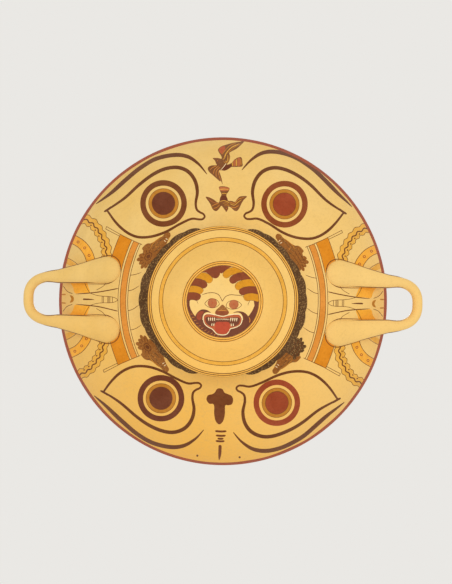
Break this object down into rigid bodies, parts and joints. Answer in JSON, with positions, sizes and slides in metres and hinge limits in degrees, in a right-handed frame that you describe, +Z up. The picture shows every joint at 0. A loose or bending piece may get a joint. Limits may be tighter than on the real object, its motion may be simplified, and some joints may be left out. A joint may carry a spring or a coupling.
{
  "type": "painted clay drinking cup",
  "caption": "Wide shallow drinking bowl of fired clay on a short stem and broad foot, with looped side handles and painted eyes outside.",
  "frame": {"origin": "on the cup's axis, in the plane that the foot rests on", "axes": "+Z up along the cup's axis, X through both handles, -Y towards the side whose eyes have the birds between them"},
  "size_m": [0.3706, 0.305, 0.1329],
  "materials": {
    "slipped_clay": "burnished cream slip over fired clay, painted in brown, brick red and ochre"
  },
  "bodies": {
    "root": {"kylix": "slipped_clay"}
  },
  "joints": []
}
